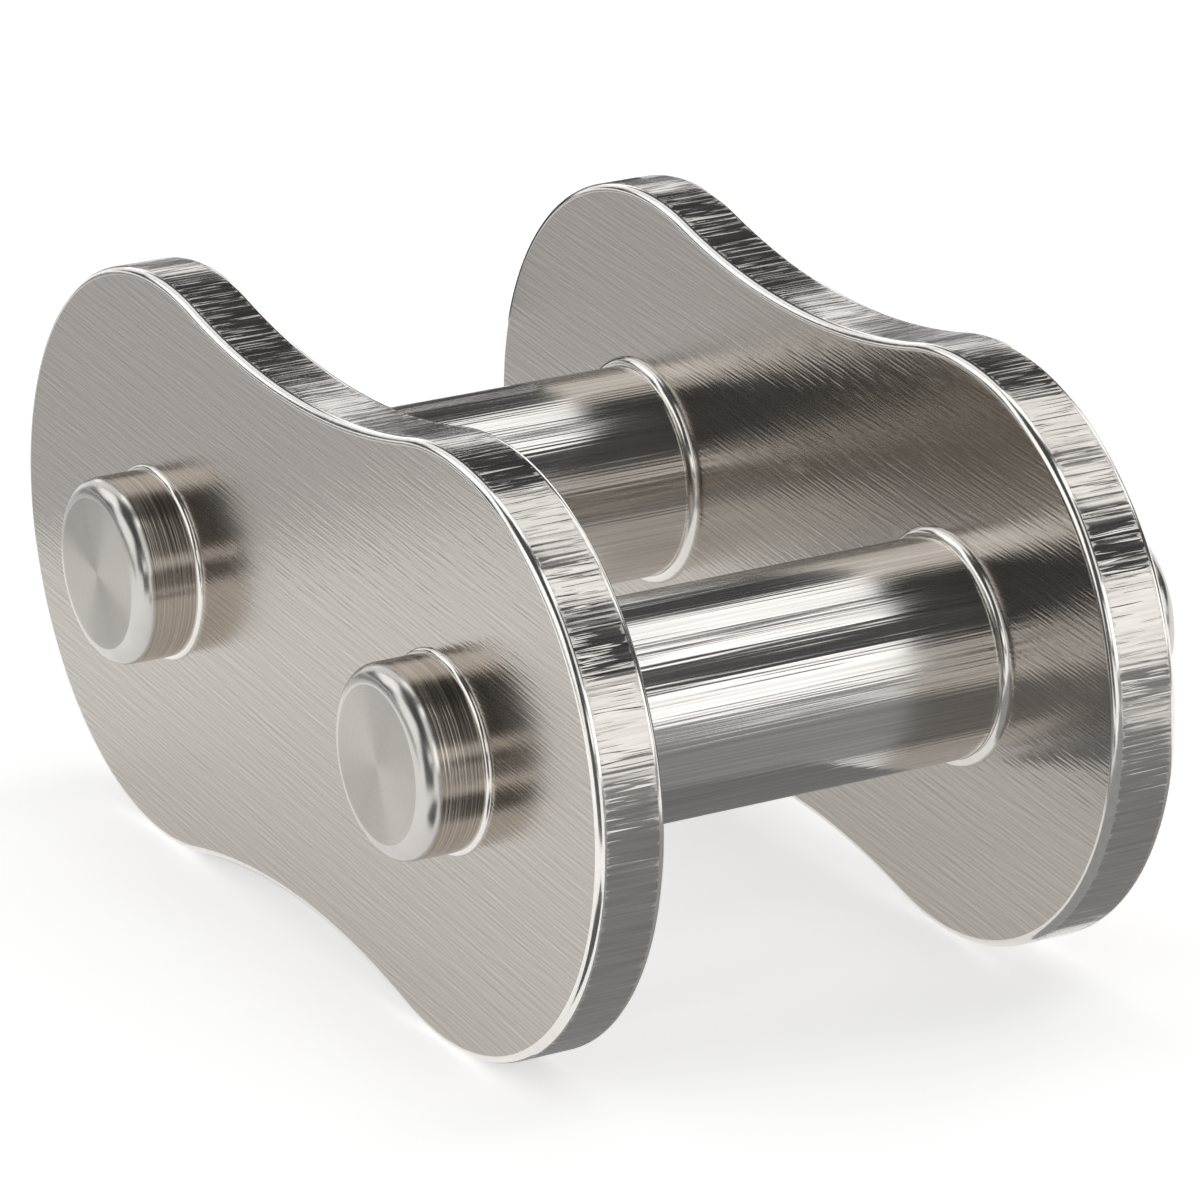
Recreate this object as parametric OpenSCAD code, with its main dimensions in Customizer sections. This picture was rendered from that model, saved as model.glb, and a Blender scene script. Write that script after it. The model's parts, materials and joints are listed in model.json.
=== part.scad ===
// Connecting link of a roller chain: two waisted plates held by two shouldered pins.
// X runs from pin to pin, Y runs along the pins and Z is up.
// The origin lies midway between the pins and midway between the plates.

/* [Chain] */
// Distance between the two pin axes, 3/8 inch
pitch = 9.525; // [8.5:0.025:11]
// Clear width between the two plates
inner_width = 7.9; // [6:0.1:10]

/* [Plates] */
// Radius of the round lobe about each pin
lobe_radius = 4.84; // [4.2:0.02:5.4]
// How far the waist dips in below the top of the lobes
waist_depth = 0.6; // [0.3:0.05:1]
// Thickness of each plate
plate_thickness = 1.15; // [0.8:0.05:1.6]
// Radius of the rounded rim along both faces of a plate
rim_round = 0.13; // [0.05:0.01:0.3]
// Radius of the quarter-round lip about each hole on the inner face
inner_lip_round = 0.14; // [0.06:0.01:0.25]
// Radius of the quarter-round lip about each hole on the outer face
outer_lip_round = 0.08; // [0.04:0.01:0.2]

/* [Pins] */
// Diameter of each pin between the plates
journal_diameter = 3.58; // [3:0.02:4.2]
// Height of the shoulder that a plate seats against
shoulder_height = 0.25; // [0.1:0.01:0.4]
// Lead-in chamfer at each end of the thick part of a pin
shoulder_chamfer = 0.06; // [0.02:0.01:0.1]
// How far the pins stand out of the pin plate
head_length = 1.1; // [0.6:0.05:1.6]
// How far the pins stand out of the cover plate
tail_length = 2.3; // [0.8:0.05:3]
// Radius of the round about each pin tip
tip_round = 0.3; // [0.1:0.02:0.42]

/* [Fits] */
// Radial clearance of the cover plate about the pins
cover_clearance = 0.02; // [0.01:0.005:0.08]
// Radial clearance of the pin plate, which is pressed on line to line
press_clearance = 0; // [0:0.005:0.02]

/* [Hidden] */
$fn = 120;
waist_fn = 480;
journal_radius = journal_diameter / 2;
end_radius = journal_radius - shoulder_height;
half_pitch = pitch / 2;
half_width = inner_width / 2;
outer_face = half_width + plate_thickness;
// The waist is one arc that touches both lobes, so its radius follows from its depth
waist_half_height = lobe_radius - waist_depth;
waist_radius = (half_pitch ^ 2 + waist_half_height ^ 2 - lobe_radius ^ 2) / (2 * waist_depth);
waist_centre = waist_half_height + waist_radius;
// The waist disc is cut this share larger, so that its arcs cross the lobes' arcs and don't just touch
blend_share = 0.00014;
cutter_radius = waist_radius * (1 + blend_share);
// How far a cutter runs past the face that it cuts
cut_margin = plate_thickness;
plate_colour = [0.47, 0.445, 0.415];
pin_colour = [0.68, 0.655, 0.625];

// Half section of a round plate with both rims rounded, standing on the X axis
module lobe_section() {
    flat_radius = lobe_radius - rim_round;
    square([flat_radius, plate_thickness]);
    translate([0, rim_round])
        square([lobe_radius, plate_thickness - 2 * rim_round]);
    for (height = [rim_round, plate_thickness - rim_round])
        translate([flat_radius, height])
            circle(r = rim_round);
}

// A round plate about each pin axis, and the rhombus of plate that joins them.
// The rhombus runs from lobe centres to waist centres, so its sides meet both arcs squarely.
module plate_blank() {
    linear_extrude(height = plate_thickness)
        polygon([[-half_pitch, 0], [0, -waist_centre], [half_pitch, 0], [0, waist_centre]]);
    for (side = [-1, 1])
        translate([side * half_pitch, 0, 0])
            rotate_extrude()
                lobe_section();
}

// Half section of the disc that cuts a waist, flared so that it leaves rounded rims
module waist_cutter_section() {
    flare_radius = cutter_radius + rim_round;
    difference() {
        translate([0, -cut_margin])
            square([flare_radius, plate_thickness + 2 * cut_margin]);
        translate([cutter_radius, rim_round])
            square([2 * rim_round, plate_thickness - 2 * rim_round]);
        for (height = [rim_round, plate_thickness - rim_round])
            translate([flare_radius, height])
                circle(r = rim_round);
    }
}

// The waisted outline, with both rims rounded all the way round
module plate_body() {
    difference() {
        plate_blank();
        for (side = [-1, 1])
            translate([0, side * waist_centre, 0])
                rotate_extrude($fn = waist_fn)
                    waist_cutter_section();
    }
}

// Quarter-round lip that stands on a plate's face round a hole of the given radius
module lip(hole_radius, round_radius) {
    rotate_extrude()
        translate([hole_radius, 0])
            intersection() {
                circle(r = round_radius);
                square(round_radius);
            }
}

// A whole plate, lying with its inner face down, with its holes and lips
module link_plate(clearance) {
    hole_radius = end_radius + clearance;
    difference() {
        plate_body();
        for (side = [-1, 1])
            translate([side * half_pitch, 0, -cut_margin])
                cylinder(r = hole_radius, h = plate_thickness + 2 * cut_margin);
    }
    for (side = [-1, 1])
        translate([side * half_pitch, 0, 0]) {
            translate([0, 0, plate_thickness])
                lip(hole_radius, outer_lip_round);
            mirror([0, 0, 1])
                lip(journal_radius + clearance, inner_lip_round);
        }
}

// Half section of a pin, with its thick journal at mid length and rounded tips
module pin_section() {
    head_tip = -outer_face - head_length;
    tail_tip = outer_face + tail_length;
    length = tail_tip - head_tip;
    translate([0, head_tip])
        square([end_radius - tip_round, length]);
    translate([0, head_tip + tip_round])
        square([end_radius, length - 2 * tip_round]);
    for (height = [head_tip + tip_round, tail_tip - tip_round])
        translate([end_radius - tip_round, height])
            circle(r = tip_round);
    polygon([
        [0, -half_width],
        [journal_radius - shoulder_chamfer, -half_width],
        [journal_radius, shoulder_chamfer - half_width],
        [journal_radius, half_width - shoulder_chamfer],
        [journal_radius - shoulder_chamfer, half_width],
        [0, half_width]
    ]);
}

// A pin along Y with its short head towards -Y
module pin() {
    rotate([-90, 0, 0])
        rotate_extrude()
            pin_section();
}

module pin_plate() {
    color(plate_colour)
        translate([0, -half_width, 0])
            rotate([90, 0, 0])
                link_plate(press_clearance);
}

module cover_plate() {
    color(plate_colour)
        translate([0, half_width, 0])
            mirror([0, 1, 0])
                rotate([90, 0, 0])
                    link_plate(cover_clearance);
}

module left_pin() {
    color(pin_colour)
        translate([-half_pitch, 0, 0])
            pin();
}

module right_pin() {
    color(pin_colour)
        translate([half_pitch, 0, 0])
            pin();
}

pin_plate();
cover_plate();
left_pin();
right_pin();
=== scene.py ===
"""Connecting link of a roller chain, dressed in brushed steel on a plain pale floor."""
import json
import math

import bmesh
import bpy
from mathutils import Matrix, Vector


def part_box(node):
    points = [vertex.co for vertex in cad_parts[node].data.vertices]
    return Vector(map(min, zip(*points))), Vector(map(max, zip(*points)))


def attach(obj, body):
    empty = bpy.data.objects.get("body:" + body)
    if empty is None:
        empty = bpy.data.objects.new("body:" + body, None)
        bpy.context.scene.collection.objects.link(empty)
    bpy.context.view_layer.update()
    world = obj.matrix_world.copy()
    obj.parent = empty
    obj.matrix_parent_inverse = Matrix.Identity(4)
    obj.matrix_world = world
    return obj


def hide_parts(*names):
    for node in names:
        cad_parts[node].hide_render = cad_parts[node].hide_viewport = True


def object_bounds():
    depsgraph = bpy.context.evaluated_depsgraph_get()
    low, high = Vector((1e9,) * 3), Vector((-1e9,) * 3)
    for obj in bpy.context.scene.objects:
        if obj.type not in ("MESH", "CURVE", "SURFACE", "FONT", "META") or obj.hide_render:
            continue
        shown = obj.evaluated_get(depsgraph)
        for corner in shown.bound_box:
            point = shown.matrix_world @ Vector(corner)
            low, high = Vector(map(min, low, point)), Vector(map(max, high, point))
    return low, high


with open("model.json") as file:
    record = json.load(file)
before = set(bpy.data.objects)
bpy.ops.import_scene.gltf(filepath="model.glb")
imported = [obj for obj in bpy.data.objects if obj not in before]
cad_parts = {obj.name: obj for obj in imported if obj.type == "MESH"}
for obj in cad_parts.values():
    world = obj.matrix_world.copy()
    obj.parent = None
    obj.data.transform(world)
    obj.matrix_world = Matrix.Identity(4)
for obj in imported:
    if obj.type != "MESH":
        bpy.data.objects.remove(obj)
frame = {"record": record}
CAD_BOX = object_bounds()

MM = 0.001
X_AXIS, Y_AXIS, Z_AXIS = Vector((1, 0, 0)), Vector((0, 1, 0)), Vector((0, 0, 1))

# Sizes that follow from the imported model, in metres
RIGHT_JOURNAL = next(mount for mount in frame["record"]["mounts"] if mount["name"] == "right_journal")
HALF_PITCH = RIGHT_JOURNAL["pos_m"][0]
JOURNAL_RADIUS = RIGHT_JOURNAL["dims"]["r_mm"] * MM
HEAD_TIP, TAIL_TIP = (corner.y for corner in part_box("right_pin"))
GROUND = CAD_BOX[0].z

# Sizes that repeat the construction, in metres
LOBE_RADIUS = 4.84 * MM
INNER_WIDTH = 7.9 * MM
PLATE_THICKNESS = 1.15 * MM
WAIST_DEPTH = 0.6 * MM
RIM_ROUND = 0.13 * MM
INNER_LIP = 0.14 * MM
OUTER_LIP = 0.08 * MM
SHOULDER_HEIGHT = 0.25 * MM
SHOULDER_CHAMFER = 0.06 * MM
TIP_ROUND = 0.3 * MM
END_RADIUS = JOURNAL_RADIUS - SHOULDER_HEIGHT
HALF_WIDTH = INNER_WIDTH / 2
OUTER_FACE = HALF_WIDTH + PLATE_THICKNESS
PLATE_MIDDLE = HALF_WIDTH + PLATE_THICKNESS / 2
WAIST_HALF_HEIGHT = LOBE_RADIUS - WAIST_DEPTH
WAIST_RADIUS = (HALF_PITCH ** 2 + WAIST_HALF_HEIGHT ** 2 - LOBE_RADIUS ** 2) / (2 * WAIST_DEPTH)
WAIST_CENTRE = WAIST_HALF_HEIGHT + WAIST_RADIUS

# The cover plate's gap round the pins, closer than the construction's so that no black line shows
COVER_GAP = 0.005 * MM

# Divisions of the meshes
LOBE_STEPS = 208
WAIST_STEPS = 58
ROUND_STEPS = 8
WALL_STEPS = 4
TURN_STEPS = 192
# Shares of a tip's flat radius and of a journal's half length at which they are divided
TIP_SHARES = (0.3, 0.6, 0.9)
JOURNAL_SHARES = (-0.9, -0.5, 0, 0.5, 0.9)
# Width of the strip of flat face that borders each round
HEM = 0.04 * MM
# Radius of the disc in the middle of each pin tip
CENTRE_RADIUS = 0.02 * MM
# Edges that turn by more than this many degrees are shaded sharp
CREASE_ANGLE = 32

# Colours of the steel
FACE_STEEL = (0.475, 0.443, 0.407)
EDGE_STEEL = (0.60, 0.57, 0.535)
# The rims and lips: lighter than the rest of the plate's steel, partly painted highlight that takes their
# bright lines up to white
RIM_AND_LIP_HIGHLIGHT_STEEL = (0.84, 0.81, 0.77)
PIN_STEEL = (0.68, 0.655, 0.625)
END_STEEL = (0.53, 0.50, 0.465)
ROUND_STEEL = (0.60, 0.575, 0.545)
SIDE_STEEL = (0.60, 0.55, 0.49)


def brushing(tilt):
    """The direction of the hairlines and the direction across them, for a tilt in degrees from +X to +Z."""
    c, s = math.cos(math.radians(tilt)), math.sin(math.radians(tilt))
    return Vector((c, 0, s)), Vector((-s, 0, c))


BRUSH, ACROSS = brushing(-6)
CROSS_BRUSH, CROSS_ACROSS = brushing(-1)

# Camera, fitted to the photograph on a frame of 1200 by 1200 pixels, with its angles in radians
FRAME_PIXELS = 1200
FOCAL_PIXELS = 7434
SENSOR = 36
CAMERA_AZIMUTH = 1.0488
CAMERA_ELEVATION = 0.3598
CAMERA_ROLL = 0.0020
CAMERA_DISTANCE = 119.0 * MM
CAMERA_ASIDE = 0.369 * MM
CAMERA_UP = -0.042 * MM
CLIP_NEAR = 5 * MM
CLIP_FAR = 20


def direction(azimuth, elevation):
    """Unit vector towards an azimuth and elevation in radians; azimuth 0 is -Y and a quarter turn is +X."""
    return Vector((
        math.sin(azimuth) * math.cos(elevation),
        -math.cos(azimuth) * math.cos(elevation),
        math.sin(elevation),
    ))


def make_camera():
    """The photograph's camera, rolled about its own axis and shifted a little in its own plane."""
    back = direction(CAMERA_AZIMUTH, CAMERA_ELEVATION)
    right = Z_AXIS.cross(back).normalized()
    turned_right = math.cos(CAMERA_ROLL) * right + math.sin(CAMERA_ROLL) * back.cross(right)
    turned_up = back.cross(turned_right)
    place = back * CAMERA_DISTANCE + turned_right * CAMERA_ASIDE + turned_up * CAMERA_UP
    turn = Matrix((turned_right, turned_up, back)).transposed().to_4x4()
    camera = bpy.data.objects.new("camera", bpy.data.cameras.new("camera"))
    camera.matrix_world = Matrix.Translation(place) @ turn
    camera.data.sensor_width = SENSOR
    camera.data.lens = FOCAL_PIXELS * SENSOR / FRAME_PIXELS
    camera.data.clip_start = CLIP_NEAR
    camera.data.clip_end = CLIP_FAR
    bpy.context.scene.collection.objects.link(camera)
    bpy.context.scene.camera = camera


# Mesh building

def outline():
    """Points and outward normals round the plate, as (x, z, nx, nz), from the right lobe over the top."""
    touch = math.atan2(WAIST_CENTRE, HALF_PITCH)
    points = []

    def arc(cx, cz, radius, start, end, steps, side):
        for i in range(steps):
            angle = start + (end - start) * i / steps
            c, s = math.cos(angle), math.sin(angle)
            points.append((cx + radius * c, cz + radius * s, side * c, side * s))

    arc(HALF_PITCH, 0, LOBE_RADIUS, touch - math.pi, math.pi - touch, LOBE_STEPS, 1)
    arc(0, WAIST_CENTRE, WAIST_RADIUS, -touch, touch - math.pi, WAIST_STEPS, -1)
    arc(-HALF_PITCH, 0, LOBE_RADIUS, touch, 2 * math.pi - touch, LOBE_STEPS, 1)
    arc(0, -WAIST_CENTRE, WAIST_RADIUS, math.pi - touch, touch, WAIST_STEPS, -1)
    return points


def quarter(steps=ROUND_STEPS):
    """Sines and cosines from 0 to a quarter turn."""
    return [(math.sin(i * math.pi / 2 / steps), math.cos(i * math.pi / 2 / steps)) for i in range(steps + 1)]


def circle(steps):
    """Cosines and sines round a whole turn."""
    return [(math.cos(2 * math.pi * i / steps), math.sin(2 * math.pi * i / steps)) for i in range(steps)]


class Section:
    """Half a cross-section, built point by point, with a material for each stretch between two points."""

    def __init__(self, *start):
        self.points = [start]
        self.kinds = []

    def to(self, across, along, kind):
        self.points.append((across, along))
        self.kinds.append(kind)


def bands(bm, rings, materials):
    """Quads between neighbouring rings of vertices, each band with its own material."""
    for (low, high), material in zip(zip(rings, rings[1:]), materials):
        for i in range(len(low)):
            j = (i + 1) % len(low)
            bm.faces.new((low[i], low[j], high[j], high[i])).material_index = material


def turned_ring(bm, centre, radius, y):
    """Vertices round an axis that runs along Y."""
    return [bm.verts.new((centre + radius * c, y, radius * s)) for c, s in circle(TURN_STEPS)]


def loop_edges(bm, ring):
    """The edges that close a ring of vertices."""
    return [bm.edges.get((vert, before)) for vert, before in zip(ring, ring[-1:] + ring[:-1])]


def finish_mesh(bm, name, materials):
    """A shaded object of the mesh, linked to the scene."""
    bmesh.ops.recalc_face_normals(bm, faces=bm.faces)
    mesh = bpy.data.meshes.new(name)
    bm.to_mesh(mesh)
    bm.free()
    for material in materials:
        mesh.materials.append(material)
    mesh.shade_smooth()
    mesh.set_sharp_from_angle(angle=math.radians(CREASE_ANGLE))
    piece = bpy.data.objects.new(name, mesh)
    bpy.context.scene.collection.objects.link(piece)
    return piece


FACE, RIM, WALL, LIP = range(4)


def make_plate(name, side, gap, materials):
    """A plate at +Y or -Y, by its side, with a gap round the pins. Depths run from its outer face inwards."""
    bm = bmesh.new()
    rim = Section(RIM_ROUND + HEM, 0)
    for s, c in quarter():
        rim.to(RIM_ROUND * (1 - s), RIM_ROUND * (1 - c), RIM if s else FACE)
    for step in range(1, WALL_STEPS):
        rim.to(0, RIM_ROUND + (PLATE_THICKNESS - 2 * RIM_ROUND) * step / WALL_STEPS, WALL)
    for s, c in reversed(quarter()):
        rim.to(RIM_ROUND * (1 - s), PLATE_THICKNESS - RIM_ROUND * (1 - c), WALL if s == 1 else RIM)
    rim.to(RIM_ROUND + HEM, PLATE_THICKNESS, FACE)
    outer = side * OUTER_FACE
    rings = [
        [bm.verts.new((x - inset * nx, outer - side * depth, z - inset * nz)) for x, z, nx, nz in outline()]
        for inset, depth in rim.points
    ]
    bands(bm, rings, rim.kinds)
    outside, inside = [rings[0]], [rings[-1]]
    hole = END_RADIUS + gap
    seat = JOURNAL_RADIUS + gap
    for centre in (-HALF_PITCH, HALF_PITCH):
        bore = Section(hole + OUTER_LIP + HEM, 0)
        for s, c in quarter():
            bore.to(hole + OUTER_LIP * c, -OUTER_LIP * s, LIP if s else FACE)
        bore.to(hole, PLATE_THICKNESS, LIP)
        bore.to(seat, PLATE_THICKNESS, LIP)
        for s, c in quarter():
            bore.to(seat + INNER_LIP * s, PLATE_THICKNESS + INNER_LIP * c, LIP)
        bore.to(seat + INNER_LIP + HEM, PLATE_THICKNESS, FACE)
        turned = [turned_ring(bm, centre, radius, outer - side * depth) for radius, depth in bore.points]
        bands(bm, turned, bore.kinds)
        outside.append(turned[0])
        inside.append(turned[-1])
    for loops in (outside, inside):
        edges = [edge for loop in loops for edge in loop_edges(bm, loop)]
        filled = bmesh.ops.triangle_fill(bm, use_beauty=True, use_dissolve=False, edges=edges)
        for item in filled["geom"]:
            if isinstance(item, bmesh.types.BMFace):
                item.material_index = FACE
    return finish_mesh(bm, name, materials)


END, ROUND, SIDE, JOURNAL = range(4)


def make_pin(name, centre, materials):
    """A turned pin with rounded tips, and a thick journal between the plates."""
    bm = bmesh.new()
    flat = END_RADIUS - TIP_ROUND
    lead_in = JOURNAL_RADIUS - SHOULDER_CHAMFER
    full_width = HALF_WIDTH - SHOULDER_CHAMFER
    section = Section(CENTRE_RADIUS, HEAD_TIP)
    for share in TIP_SHARES:
        section.to(flat * share, HEAD_TIP, END)
    for s, c in quarter():
        section.to(flat + TIP_ROUND * s, HEAD_TIP + TIP_ROUND * (1 - c), ROUND if s else END)
    section.to(END_RADIUS, -HALF_WIDTH, SIDE)
    section.to(lead_in, -HALF_WIDTH, SIDE)
    section.to(JOURNAL_RADIUS, -full_width, SIDE)
    for share in JOURNAL_SHARES:
        section.to(JOURNAL_RADIUS, share * HALF_WIDTH, JOURNAL)
    section.to(JOURNAL_RADIUS, full_width, JOURNAL)
    section.to(lead_in, HALF_WIDTH, SIDE)
    section.to(END_RADIUS, HALF_WIDTH, SIDE)
    section.to(END_RADIUS, OUTER_FACE, SIDE)
    for s, c in reversed(quarter()):
        section.to(flat + TIP_ROUND * s, TAIL_TIP - TIP_ROUND * (1 - c), SIDE if s == 1 else ROUND)
    for share in reversed(TIP_SHARES):
        section.to(flat * share, TAIL_TIP, END)
    section.to(CENTRE_RADIUS, TAIL_TIP, END)
    rings = [turned_ring(bm, centre, radius, y) for radius, y in section.points]
    bands(bm, rings, section.kinds)
    for ring in (rings[0], rings[-1]):
        bm.faces.new(ring).material_index = END
    return finish_mesh(bm, name, materials)


# Materials

class Shader:
    """A material's node tree, with short calls for its nodes."""

    def __init__(self, name, colour):
        self.material = bpy.data.materials.new(name)
        self.material.use_nodes = True
        self.nodes = self.material.node_tree.nodes
        self.links = self.material.node_tree.links
        self.out = self.nodes["Principled BSDF"]
        self.feed("Base Color", (*colour, 1))

    def add(self, kind, **settings):
        node = self.nodes.new(kind)
        for key, value in settings.items():
            setattr(node, key, value)
        return node

    def put(self, socket, value):
        """Gives a socket a link or a plain value."""
        if isinstance(value, bpy.types.NodeSocket):
            self.links.new(value, socket)
        else:
            socket.default_value = value

    def feed(self, name, value):
        """Gives a link or a plain value to one of the shader's own sockets."""
        self.put(self.out.inputs[name], value)

    def vector(self, operation, *values, scale=None):
        node = self.add("ShaderNodeVectorMath", operation=operation)
        for socket, value in zip(node.inputs, values):
            self.put(socket, value)
        if scale is not None:
            self.put(node.inputs["Scale"], scale)
        return node.outputs["Value" if operation in ("DOT_PRODUCT", "LENGTH") else "Vector"]

    def math(self, operation, *values):
        node = self.add("ShaderNodeMath", operation=operation)
        for socket, value in zip(node.inputs, values):
            self.put(socket, value)
        return node.outputs[0]


class Steel(Shader):
    """Bare metal. Its plain colour and roughness are for viewers that don't read the nodes."""

    def __init__(self, name, colour, roughness, anisotropic=0.0):
        super().__init__(name, colour)
        self.colour = colour
        self.feed("Metallic", 1)
        self.feed("Roughness", roughness)
        self.feed("Anisotropic", anisotropic)
        self.place = self.vector("SCALE", self.add("ShaderNodeTexCoord").outputs["Object"], scale=1 / MM)

    def along(self, axis):
        """Millimetres along an axis, times the axis's length."""
        return self.vector("DOT_PRODUCT", self.place, tuple(axis))

    def combined(self, *values):
        node = self.add("ShaderNodeCombineXYZ")
        for socket, value in zip(node.inputs, values):
            self.put(socket, value)
        return node.outputs[0]

    def stretched(self, *axes):
        """Coordinates in millimetres along each axis, times its rate."""
        return self.combined(*(self.along(axis * rate) for axis, rate in axes))

    def scaled(self, across_pins, along_pins):
        """Coordinates in millimetres, times a rate across the pins and another along them."""
        return self.stretched((X_AXIS, across_pins), (Y_AXIS, along_pins), (Z_AXIS, across_pins))

    def noise(self, place, detail):
        node = self.add("ShaderNodeTexNoise")
        for name, value in (("Vector", place), ("Scale", 1), ("Detail", detail), ("Roughness", 0.55)):
            self.put(node.inputs[name], value)
        return node.outputs["Fac"]

    def lines(self, offset, *axes):
        """Even fine lines along the first two axes: a noise less itself, moved along the third axis."""
        place = self.stretched(*axes)
        moved = self.vector("ADD", place, (0, 0, offset))
        return self.math("SUBTRACT", self.noise(place, 0), self.noise(moved, 0))

    def total(self, *terms):
        """Weighted sum of values."""
        result = 0.0
        for value, weight in terms:
            result = self.math("MULTIPLY_ADD", value, weight, result)
        return result

    def span(self, value, low, high):
        """Maps 0 and 1 to low and high, without clamping."""
        node = self.add("ShaderNodeMapRange", clamp=False)
        for socket, number in zip(node.inputs, (value, 0.0, 1.0, low, high)):
            self.put(socket, number)
        return node.outputs[0]

    def soft_clamp(self, value, softness):
        """Keeps a value between 0 and 1, with rounded turns at both."""
        return self.math("SMOOTH_MIN", self.math("SMOOTH_MAX", value, 0.0, softness), 1.0, softness)

    def tint(self, factor, low, high):
        """Base colour, from low to high times the finish's own colour."""
        self.feed("Base Color", self.vector("SCALE", self.colour, scale=self.span(factor, low, high)))

    def rough(self, factor, low, high):
        self.feed("Roughness", self.span(factor, low, high))

    def bump(self, height, distance, under=None):
        """Relief with a depth in millimetres, laid over the one under it."""
        node = self.add("ShaderNodeBump")
        self.put(node.inputs["Strength"], 1)
        self.put(node.inputs["Distance"], distance * MM)
        self.put(node.inputs["Height"], height)
        if under is not None:
            self.put(node.inputs["Normal"], under)
        self.feed("Normal", node.outputs[0])
        return node.outputs[0]


def brushed_face():
    """Hairlines in two directions a few degrees apart."""
    steel = Steel("plate_face", FACE_STEEL, 0.22, 0.6)
    hair = steel.lines(0.9, (BRUSH, 0.5), (Y_AXIS, 1.7), (ACROSS, 27))
    crossing = steel.lines(0.8, (CROSS_BRUSH, 0.7), (Y_AXIS, 2.9), (CROSS_ACROSS, 24))
    cloud = steel.noise(steel.stretched((BRUSH, 0.15), (Y_AXIS, 1.7), (ACROSS, 1.2)), 2)
    grain = steel.total((hair, 0.6), (crossing, 0.4), (cloud, 0.05))
    steel.tint(grain, 0.97, 1.47)
    steel.rough(cloud, 0.16, 0.24)
    steel.bump(grain, 0.0025)
    return steel.material


def sheared_wall():
    """Bands, streaks and a few deep scratches through the plate's thickness, with wear towards the rims."""
    steel = Steel("plate_wall", EDGE_STEEL, 0.16, 0.5)
    band = steel.noise(steel.scaled(2.2, 0.15), 1)
    streak = steel.noise(steel.scaled(15, 0.4), 0)
    scratch = steel.noise(steel.scaled(24, 1.1), 0)
    # Only the peaks of the noise cut deep
    deep = steel.math("MAXIMUM", steel.math("SUBTRACT", scratch, 0.58), 0.0)
    beyond_middle = steel.math("SUBTRACT", steel.math("ABSOLUTE", steel.along(Y_AXIS)), PLATE_MIDDLE / MM)
    from_middle = steel.math("ABSOLUTE", beyond_middle)
    # The wear reaches further in from the rims along the streaks
    reach = steel.total((from_middle, 14), (streak, 2.5), (scratch, 2), (1.0, -7.9))
    wear = steel.soft_clamp(reach, 0.2)
    steel.tint(steel.total((streak, 0.5), (scratch, 0.5), (wear, 0.3)), 0.7, 1.25)
    steel.feed("Roughness", steel.total((streak, 0.12), (wear, 0.3), (1.0, 0.08)))
    banded = steel.bump(band, 0.016)
    streaked = steel.bump(streak, 0.005, banded)
    steel.bump(deep, 0.02, streaked)
    normal = steel.add("ShaderNodeNewGeometry").outputs["Normal"]
    steel.feed("Tangent", steel.vector("CROSS_PRODUCT", normal, tuple(Y_AXIS)))
    return steel.material


def polished(name, colour, roughness, distance=0.0006, rate=6):
    """A bright round with a faint grain."""
    steel = Steel(name, colour, roughness)
    grain = steel.noise(steel.scaled(rate, rate), 2)
    steel.tint(grain, 0.9, 1.1)
    steel.rough(grain, roughness * 0.6, roughness * 1.4)
    steel.bump(grain, distance)
    return steel.material


def turned_end():
    """Rings round the middle of each pin tip."""
    steel = Steel("pin_face", END_STEEL, 0.42, 0.9)
    aside = steel.math("SUBTRACT", steel.math("ABSOLUTE", steel.along(X_AXIS)), HALF_PITCH / MM)
    spoke = steel.combined(aside, 0.0, steel.along(Z_AXIS))
    radius = steel.vector("LENGTH", spoke)
    groove = steel.noise(steel.combined(steel.math("MULTIPLY", radius, 26)), 1)
    steel.tint(groove, 0.88, 1.16)
    steel.rough(groove, 0.36, 0.46)
    steel.bump(groove, 0.0012)
    steel.feed("Tangent", steel.vector("NORMALIZE", spoke))
    return steel.material


def turned_side():
    """Grooves round the sides of the pin ends."""
    steel = Steel("pin_side", SIDE_STEEL, 0.2, 0.5)
    groove = steel.noise(steel.scaled(0.3, 30), 1)
    steel.tint(groove, 0.5, 1.5)
    steel.rough(groove, 0.12, 0.3)
    steel.bump(groove, 0.004)
    return steel.material


def ground_journal():
    """Wide and fine streaks along the journals."""
    steel = Steel("pin_journal", PIN_STEEL, 0.18, 0.6)
    wide = steel.noise(steel.scaled(4, 0.1), 2)
    fine = steel.noise(steel.scaled(28, 0.3), 0)
    steel.tint(fine, 0.8, 1.34)
    steel.rough(wide, 0.11, 0.25)
    waved = steel.bump(wide, 0.01)
    steel.bump(fine, 0.004, waved)
    return steel.material


# Studio

LIGHT_DISTANCE = 2.0
FLOOR_RADIUS = 0.7
FLOOR_FLAT_RADIUS = 0.56
FLOOR_CENTRE_RADIUS = 0.001
BACKDROP_HEIGHT = 0.07
FLOOR_STEPS = 96
BACKDROP_STEPS = 6
FLOOR_GREY = 0.82
FLOOR_LIFT = 0.53
WORLD_LEVEL = 0.06
# Height of the lying cards above the floor, in millimetres
CARD_LIFT = 0.05


def softbox(name, azimuth, elevation, width, height, level, along=Z_AXIS):
    """An area light that faces the object. Width and height are in degrees as the object sees them.

    The height runs along the given direction as nearly as it can. The level is the light's radiance.
    """
    back = direction(math.radians(azimuth), math.radians(elevation))
    across = along.cross(back).normalized()
    light = bpy.data.lights.new(name, "AREA")
    light.shape = "RECTANGLE"
    light.size = 2 * LIGHT_DISTANCE * math.tan(math.radians(width / 2))
    light.size_y = 2 * LIGHT_DISTANCE * math.tan(math.radians(height / 2))
    light.energy = level * math.pi * light.size * light.size_y
    lamp = bpy.data.objects.new(name, light)
    turn = Matrix((across, back.cross(across), back)).transposed().to_4x4()
    lamp.matrix_world = Matrix.Translation(back * LIGHT_DISTANCE) @ turn
    bpy.context.scene.collection.objects.link(lamp)


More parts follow.
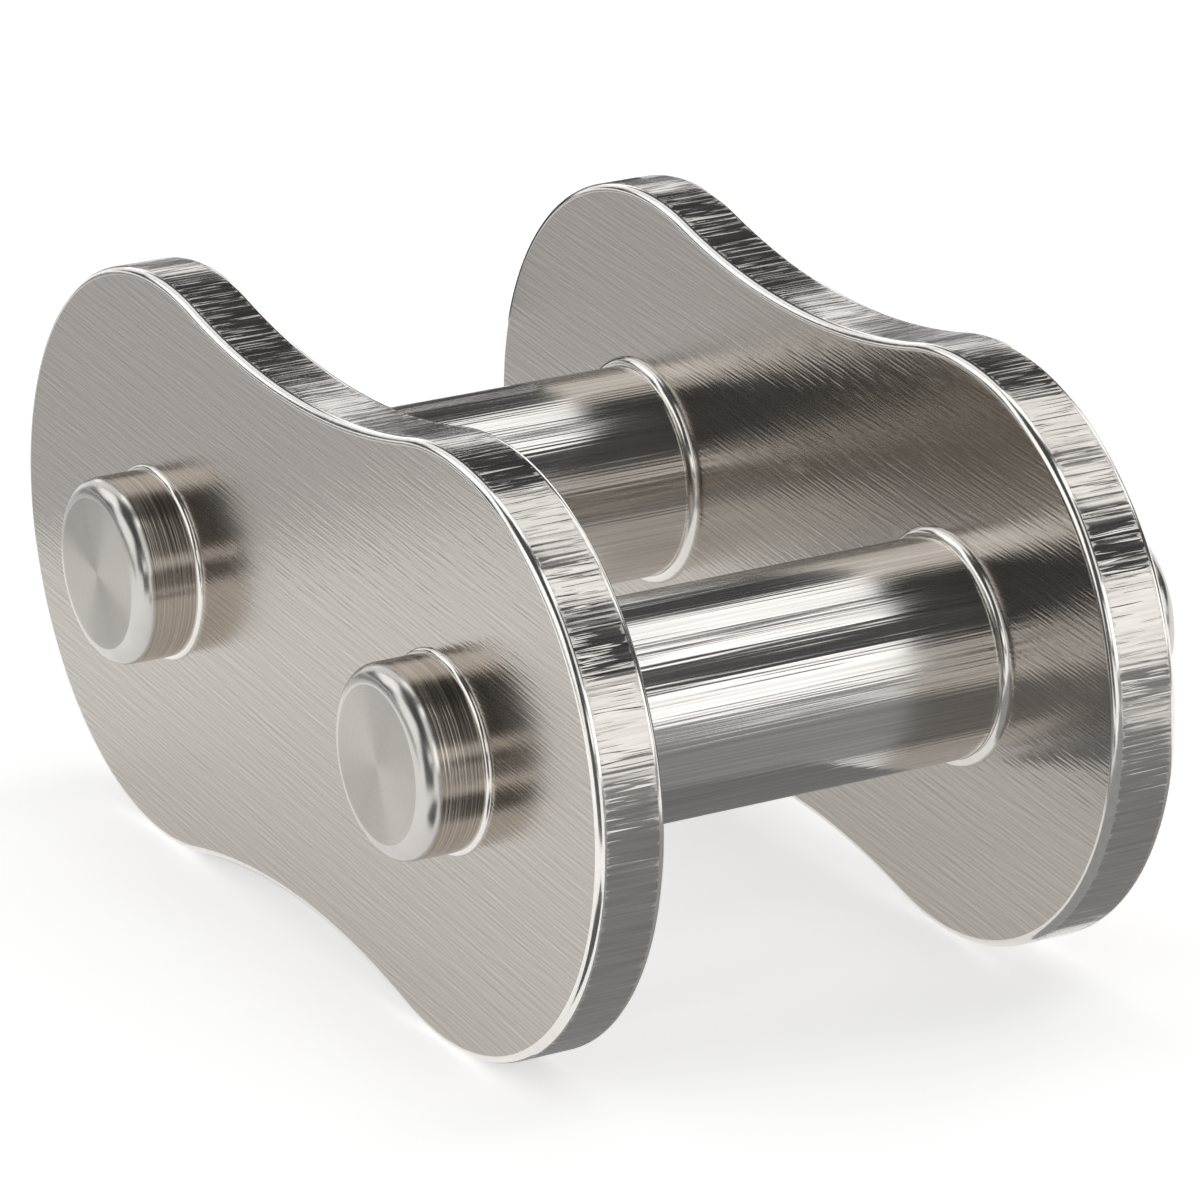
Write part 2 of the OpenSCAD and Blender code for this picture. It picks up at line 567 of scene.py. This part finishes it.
def plain_shader(name, grey, glow):
    """A grey without gloss, which also gives off white light."""
    shader = Shader(name, (grey, grey, grey))
    shader.feed("Specular IOR Level", 0)
    shader.feed("Emission Color", (1, 1, 1, 1))
    shader.feed("Emission Strength", glow)
    return shader


def make_floor():
    """A round floor with a low upturned border. It glows for the camera and for reflections alone."""
    bm = bmesh.new()
    profile = [(FLOOR_CENTRE_RADIUS, 0)]
    for s, c in quarter(BACKDROP_STEPS):
        radius = FLOOR_FLAT_RADIUS + (FLOOR_RADIUS - FLOOR_FLAT_RADIUS) * s
        profile.append((radius, BACKDROP_HEIGHT * (1 - c)))
    rings = [
        [bm.verts.new((radius * c, radius * s, GROUND + height)) for c, s in circle(FLOOR_STEPS)]
        for radius, height in profile
    ]
    bands(bm, rings, [0] * (len(rings) - 1))
    bm.faces.new(rings[0])
    shader = plain_shader("floor", FLOOR_GREY, 0)
    rays = shader.add("ShaderNodeLightPath").outputs
    mirrored = shader.math("MAXIMUM", rays["Is Glossy Ray"], rays["Is Transmission Ray"])
    seen = shader.math("MAXIMUM", rays["Is Camera Ray"], mirrored)
    shader.feed("Emission Strength", shader.math("MULTIPLY", seen, FLOOR_LIFT))
    finish_mesh(bm, "floor", [shader.material])


def level_card(height, *corners):
    """Corners of a card that lies level, from their places in X and Y."""
    return [Vector((x, y, height)) * MM for x, y in corners]


def floor_card(low_x, high_x, low_y, high_y):
    """Corners of a card that lies on the floor."""
    corners = (low_x, low_y), (high_x, low_y), (high_x, high_y), (low_x, high_y)
    return level_card(GROUND / MM + CARD_LIFT, *corners)


def end_card(x, *corners):
    """Corners of an upright card beyond one end of the link, from their places in Y and Z."""
    return [Vector((x, y, z)) * MM for y, z in corners]


def standing_card(azimuth, distance, width, top):
    """Corners of a card that stands on the floor and faces the object, up to an elevation of top."""
    foot = direction(math.radians(azimuth), 0) * distance * MM
    aside = foot.cross(Z_AXIS).normalized() * width / 2 * MM
    high = distance * MM * math.tan(math.radians(top))
    return [foot + end * aside + Z_AXIS * z for end, z in ((-1, GROUND), (1, GROUND), (1, high), (-1, high))]


def make_flags():
    """Grey cards close to the object, which only polished metal sees.

    Their places and sizes are in millimetres and their angles in degrees.
    """
    for name, level, corners in (
        ("flag_right", 0.3, floor_card(7, 42, -4.6, 13)),
        ("flag_near", 0.3, floor_card(-12, 7, -4.9, -2.5)),
        ("flag_right_front", 0.1, floor_card(8.4, 15, -11, -6.3)),
        ("flag_front_floor", 0.7, floor_card(-50, -16, -32, -10)),
        ("flag_left_floor", 0.7, floor_card(-50, -19, -10, -1)),
        ("flag_right_back", 0.3, standing_card(118, 45, 56, 4)),
        ("flag_left_back", 0.2, standing_card(240, 80, 80, 8)),
        ("flag_left_front", 0.3, standing_card(-40, 45, 70, 4)),
        ("flag_right_front_side", 0.1, standing_card(44, 25.4, 15, 8)),
        ("flag_under_journal", 0.2, level_card(-1.94, (4.6, -3.85), (7.2, -3.85), (6.9, 1), (5.2, 3.2))),
        ("flag_beside_journal", 0.06, end_card(-12, (2.7, 0.5), (8, 0.5), (8, 4.2), (2.7, 4.2))),
    ):
        bm = bmesh.new()
        bm.faces.new([bm.verts.new(corner) for corner in corners])
        flag = finish_mesh(bm, name, [plain_shader(name, 0, level).material])
        flag.visible_camera = False
        flag.visible_diffuse = False
        flag.visible_shadow = False
        flag.visible_transmission = False


def make_world():
    """An even dim grey all round."""
    world = bpy.data.worlds.new("studio")
    world.use_nodes = True
    background = world.node_tree.nodes["Background"]
    background.inputs["Color"].default_value = (WORLD_LEVEL, WORLD_LEVEL, WORLD_LEVEL, 1)
    bpy.context.scene.world = world


def make_studio():
    make_world()
    make_floor()
    make_flags()
    # Azimuth, elevation, width, height, level and, unless it is upright, the way that the height runs
    softbox("overhead_left", 203.9, 58.4, 25, 56, 1.3, Y_AXIS)
    softbox("overhead_right", 151.8, 57.1, 13, 56, 1.5, Y_AXIS)
    softbox("right_box", 120, 17.5, 29, 54, 1.4, Y_AXIS)
    softbox("left_strip", 241, 14.5, 11, 50, 1.3, Y_AXIS)
    softbox("front", -8, 24, 50, 34, 1.2)
    softbox("left_front", -52, 36, 40, 26, 1.4, Y_AXIS)
    softbox("right_front", 60.6, 17.6, 12, 22, 1.3, Y_AXIS)
    softbox("right_rim_strip", 87, 40, 24, 72, 0.9)
    softbox("left_rim_strip", -87, 40, 24, 72, 0.9)
    softbox("back", 210, 14, 44, 20, 1.1)


def dress():
    """The visible pieces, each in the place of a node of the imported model."""
    plate_finish = [
        brushed_face(),
        # The rims and lips take the lighter steel, partly painted highlight
        polished("plate_rim", RIM_AND_LIP_HIGHLIGHT_STEEL, 0.16),
        sheared_wall(),
        polished("plate_lip", RIM_AND_LIP_HIGHLIGHT_STEEL, 0.18),
    ]
    pin_finish = [
        turned_end(),
        polished("pin_round", ROUND_STEEL, 0.24, 0.001, 2),
        turned_side(),
        ground_journal(),
    ]
    for piece, body, node, slot in (
        (make_plate("pin_plate_steel", -1, 0, plate_finish), "pin_link", "pin_plate", "plate_steel"),
        (make_plate("cover_plate_steel", 1, COVER_GAP, plate_finish), "cover", "cover_plate", "plate_steel"),
        (make_pin("left_pin_steel", -HALF_PITCH, pin_finish), "pin_link", "left_pin", "pin_steel"),
        (make_pin("right_pin_steel", HALF_PITCH, pin_finish), "pin_link", "right_pin", "pin_steel"),
    ):
        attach(piece, body)
        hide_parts(node)


make_camera()
dress()
make_studio()
bpy.context.scene.view_settings.view_transform = "Standard"
